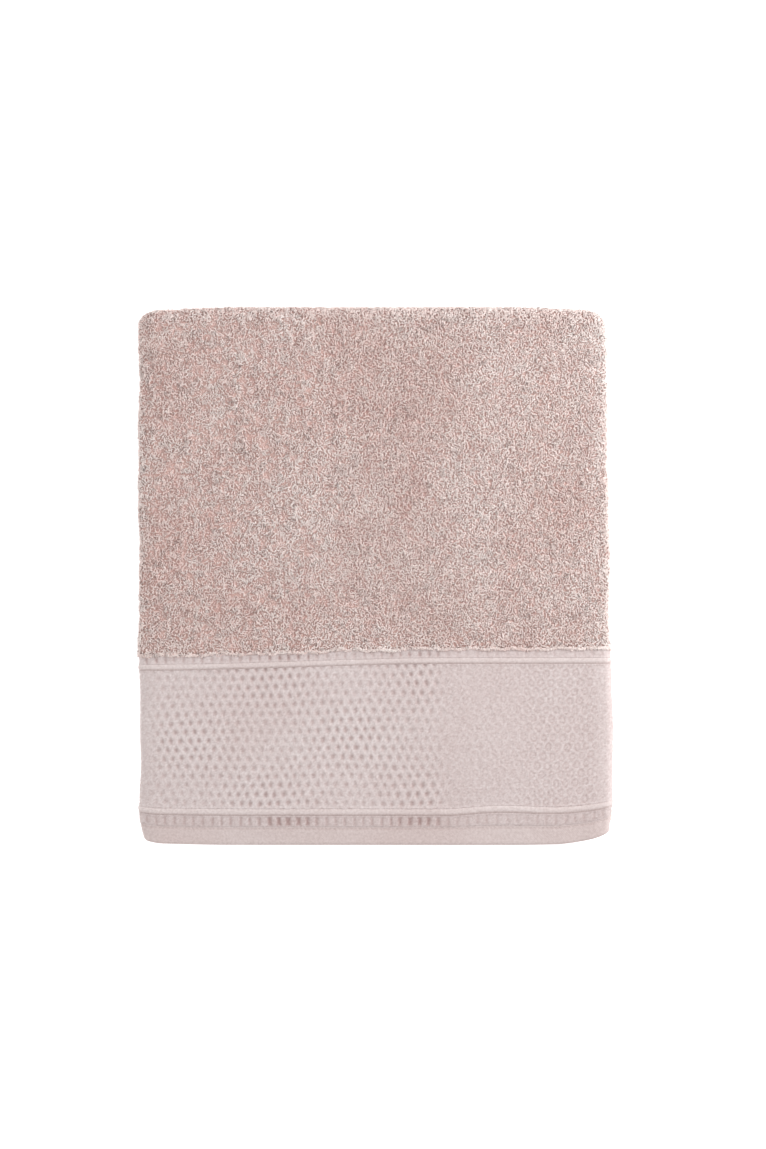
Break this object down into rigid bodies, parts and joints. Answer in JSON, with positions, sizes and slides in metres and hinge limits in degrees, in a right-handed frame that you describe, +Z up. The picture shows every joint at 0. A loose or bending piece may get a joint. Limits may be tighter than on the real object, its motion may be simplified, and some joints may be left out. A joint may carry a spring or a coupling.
{
  "type": "folded bath towel",
  "caption": "Rectangular cotton terry bath towel with a woven waffle border, folded in thirds across and in a concertina along; each panel opens about its crease",
  "frame": {"origin": "centre of the underside of the folded towel", "axes": "+X across the towel to its right-hand crease, +Y from the front hem to the top creases, +Z up out of the face with the border"},
  "size_m": [0.338, 0.388, 0.0504],
  "materials": {
    "terry": "looped cotton pile, blush pink, matt",
    "waffle_weave": "woven cotton cells, blush pink, slight sheen",
    "woven_cord": "raised cotton rib, blush pink, slight sheen",
    "hem_weave": "plain woven cotton hem, blush pink",
    "sewing_thread": "spun sewing thread, blush pink"
  },
  "bodies": {
    "base_panel": {"base_hem": "hem_weave", "base_hem_stitching": "sewing_thread", "base_left_flap": "terry", "base_left_side_hem": "hem_weave", "base_lower_cell_band": "waffle_weave", "base_lower_cord": "woven_cord", "base_middle_ply": "terry", "base_right_flap": "terry", "base_right_side_hem": "hem_weave", "base_side_stitching": "sewing_thread", "base_top_crease": "terry", "base_upper_cell_band": "waffle_weave", "base_upper_cord": "woven_cord", "base_waffle_border": "waffle_weave"},
    "third_panel": {"third_left_flap": "terry", "third_left_side_hem": "hem_weave", "third_lower_crease": "terry", "third_middle_ply": "terry", "third_right_flap": "terry", "third_right_side_hem": "hem_weave", "third_side_stitching": "sewing_thread", "third_top_crease": "terry"},
    "second_panel": {"second_left_flap": "terry", "second_left_side_hem": "hem_weave", "second_lower_crease": "terry", "second_middle_ply": "terry", "second_right_flap": "terry", "second_right_side_hem": "hem_weave", "second_side_stitching": "sewing_thread", "second_top_crease": "terry"},
    "front_panel": {"front_hem": "hem_weave", "front_hem_stitching": "sewing_thread", "front_left_flap": "terry", "front_left_side_hem": "hem_weave", "front_lower_cell_band": "waffle_weave", "front_lower_cord": "woven_cord", "front_middle_ply": "terry", "front_right_flap": "terry", "front_right_side_hem": "hem_weave", "front_side_stitching": "sewing_thread", "front_top_crease": "terry", "front_upper_cell_band": "waffle_weave", "front_upper_cord": "woven_cord", "front_waffle_border": "waffle_weave"}
  },
  "joints": [
    {"name": "third_unfold", "type": "hinge", "parent": "base_panel", "child": "third_panel", "pos_m": [0, 0.194, 0.0125], "axis": [-1, 0, 0], "range_deg": [0, 180]},
    {"name": "second_unfold", "type": "hinge", "parent": "third_panel", "child": "second_panel", "pos_m": [0, -0.185, 0.0252], "axis": [1, 0, 0], "range_deg": [0, 180]},
    {"name": "front_unfold", "type": "hinge", "parent": "second_panel", "child": "front_panel", "pos_m": [0, 0.194, 0.0379], "axis": [-1, 0, 0], "range_deg": [0, 180]}
  ]
}
